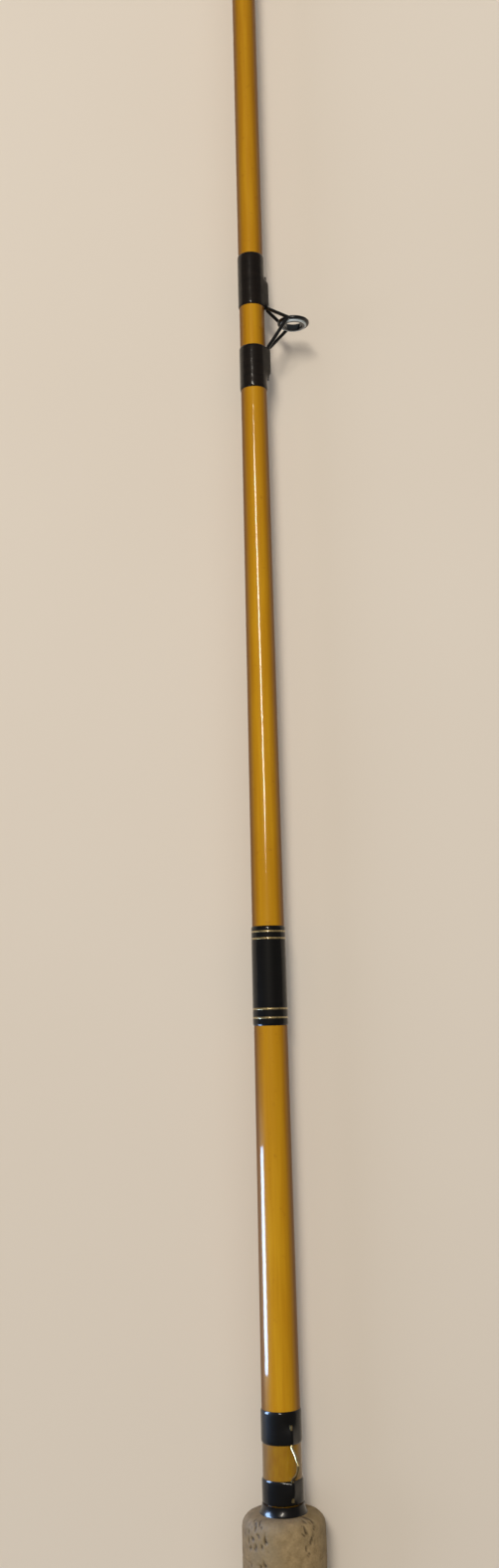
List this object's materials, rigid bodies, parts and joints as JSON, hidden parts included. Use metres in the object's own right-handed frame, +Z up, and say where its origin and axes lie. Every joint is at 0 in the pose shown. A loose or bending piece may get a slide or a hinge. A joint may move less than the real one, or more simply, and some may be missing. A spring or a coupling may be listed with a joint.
{
  "type": "fishing rod and reel",
  "caption": "Glass-fibre fly rod with cork grip, thread-wrapped guides and a locking reel seat, carrying a single-action fly reel with handle, click drag and removable spool.",
  "frame": {"origin": "centre of the reel's back plate, on the surface that the reel lies on", "axes": "+Z up the reel's spindle, out of the handle side; +Y along the rod from butt to tip; the reel, the guides and the tip ring are on the rod's +X side"},
  "size_m": [0.1315, 2.59, 0.0521],
  "materials": {
    "fibreglass": "ochre-tinted glass-fibre tube under a thick clear gloss coat",
    "spigot": "natural glass-fibre rod, ground smooth, satin",
    "cork": "aged cork, sanded, with dark pits and cracks",
    "check": "black moulded plastic",
    "black_wrap": "black thread under clear epoxy, high gloss",
    "brown_wrap": "brown-black thread under clear varnish",
    "gold_band": "metallic gold thread under clear epoxy",
    "guide_frame": "black-plated steel wire",
    "shock_ring": "pale blue-white moulded nylon",
    "ceramic": "polished blue-black ceramic",
    "keeper_wire": "thin brass-coloured wire, slightly tarnished",
    "snake_wire": "hard-chromed steel wire",
    "seat_metal": "black anodised aluminium, satin",
    "arbor": "cork and fibre",
    "rubber": "black moulded rubber",
    "reel_black": "black anodised aluminium, machined, satin",
    "spool_black": "black anodised aluminium with bare polished rim",
    "screw_steel": "nickel-plated steel",
    "steel": "ground stainless steel",
    "guard_chrome": "chromed brass",
    "bronze": "machined bronze",
    "spring_steel": "blued spring steel",
    "knob_black": "turned black resin, polished"
  },
  "bodies": {
    "rod": {"butt_blank": "fibreglass", "ferrule_spigot": "spigot", "butt_cork_rings": "cork", "butt_cap": "rubber", "seat_barrel": "seat_metal", "seat_arbors": "arbor", "fixed_hood": "seat_metal", "grip_cork_rings": "cork", "winding_check": "check", "hook_keeper": "keeper_wire", "keeper_wraps": "black_wrap", "trim_wrap": "black_wrap", "trim_bands": "gold_band", "stripping_guide_frame": "guide_frame", "stripping_guide_shock_ring": "shock_ring", "stripping_guide_ring": "ceramic", "stripping_guide_wraps": "brown_wrap", "butt_guide_wraps": "brown_wrap", "snake_guide_8": "snake_wire", "snake_guide_9": "snake_wire", "reel_foot": "reel_black", "foot_screws": "screw_steel", "back_plate": "reel_black", "frame_pillars": "reel_black", "front_ring": "reel_black", "frame_screws": "screw_steel", "line_guard": "guard_chrome", "spindle": "steel", "pawl_pins": "steel", "pawl_springs": "spring_steel"},
    "tip_section": {"tip_blank": "fibreglass", "tip_guide_wraps": "brown_wrap", "tip_tube": "snake_wire", "tip_ring": "snake_wire", "snake_guide_1": "snake_wire", "snake_guide_2": "snake_wire", "snake_guide_3": "snake_wire", "snake_guide_4": "snake_wire", "snake_guide_5": "snake_wire", "snake_guide_6": "snake_wire", "snake_guide_7": "snake_wire"},
    "sliding_hood": {"sliding_hood": "seat_metal"},
    "lock_nut": {"lock_nut": "seat_metal"},
    "drag": {"drag_knob": "reel_black", "drag_cam": "bronze"},
    "click_pawl": {"click_pawl": "steel"},
    "spare_pawl": {"spare_pawl": "steel"},
    "spool": {"spool": "spool_black", "spool_bush": "bronze", "click_gear": "bronze", "gear_rivets": "steel", "latch_spring": "spring_steel", "latch_cover": "reel_black", "latch_screws": "screw_steel", "handle_post": "steel", "counterweight": "steel"},
    "latch": {"latch_slide": "steel"},
    "handle_knob": {"handle_knob": "knob_black"}
  },
  "joints": [
    {"name": "ferrule_slide", "type": "slide", "parent": "rod", "child": "tip_section", "axis": [0, 1, 0], "range_m": [0, 0.07]},
    {"name": "hood_slide", "type": "slide", "parent": "rod", "child": "sliding_hood", "axis": [0, -1, 0], "range_m": [0, 0.01]},
    {"name": "nut_turn", "type": "hinge", "parent": "sliding_hood", "child": "lock_nut", "pos_m": [-0.06684, -0.0478, 0.016], "axis": [0, -1, 0], "range_deg": [0, 1801]},
    {"name": "drag_turn", "type": "hinge", "parent": "rod", "child": "drag", "pos_m": [0.0288, -0.013, 0.003], "axis": [0, 0, 1], "range_deg": [0, 180]},
    {"name": "pawl_rock", "type": "hinge", "parent": "rod", "child": "click_pawl", "pos_m": [0.0205, 0, 0.006], "axis": [0, 0, 1], "range_deg": [-3, 3], "stiffness_Nm_per_rad": 0.02},
    {"name": "spare_pawl_rock", "type": "hinge", "parent": "rod", "child": "spare_pawl", "pos_m": [-0.0205, 0, 0.006], "axis": [0, 0, 1], "range_deg": [-8, 8], "stiffness_Nm_per_rad": 0.02},
    {"name": "spool_spin", "type": "hinge", "parent": "rod", "child": "spool", "pos_m": [0, 0, 0.02], "axis": [0, 0, 1], "continuous": true},
    {"name": "latch_travel", "type": "slide", "parent": "spool", "child": "latch", "axis": [1, 0, 0], "range_m": [0, 0.0025], "stiffness_N_per_m": 300, "springref_m": -0.001, "deforming": ["latch_spring"]},
    {"name": "handle_knob_spin", "type": "hinge", "parent": "spool", "child": "handle_knob", "pos_m": [0.0355, 0, 0.042], "axis": [0, 0, 1], "continuous": true}
  ],
  "couplings": [
    {"joint": "nut_turn", "follows": "hood_slide", "rad_per_m": 3141.6}
  ]
}
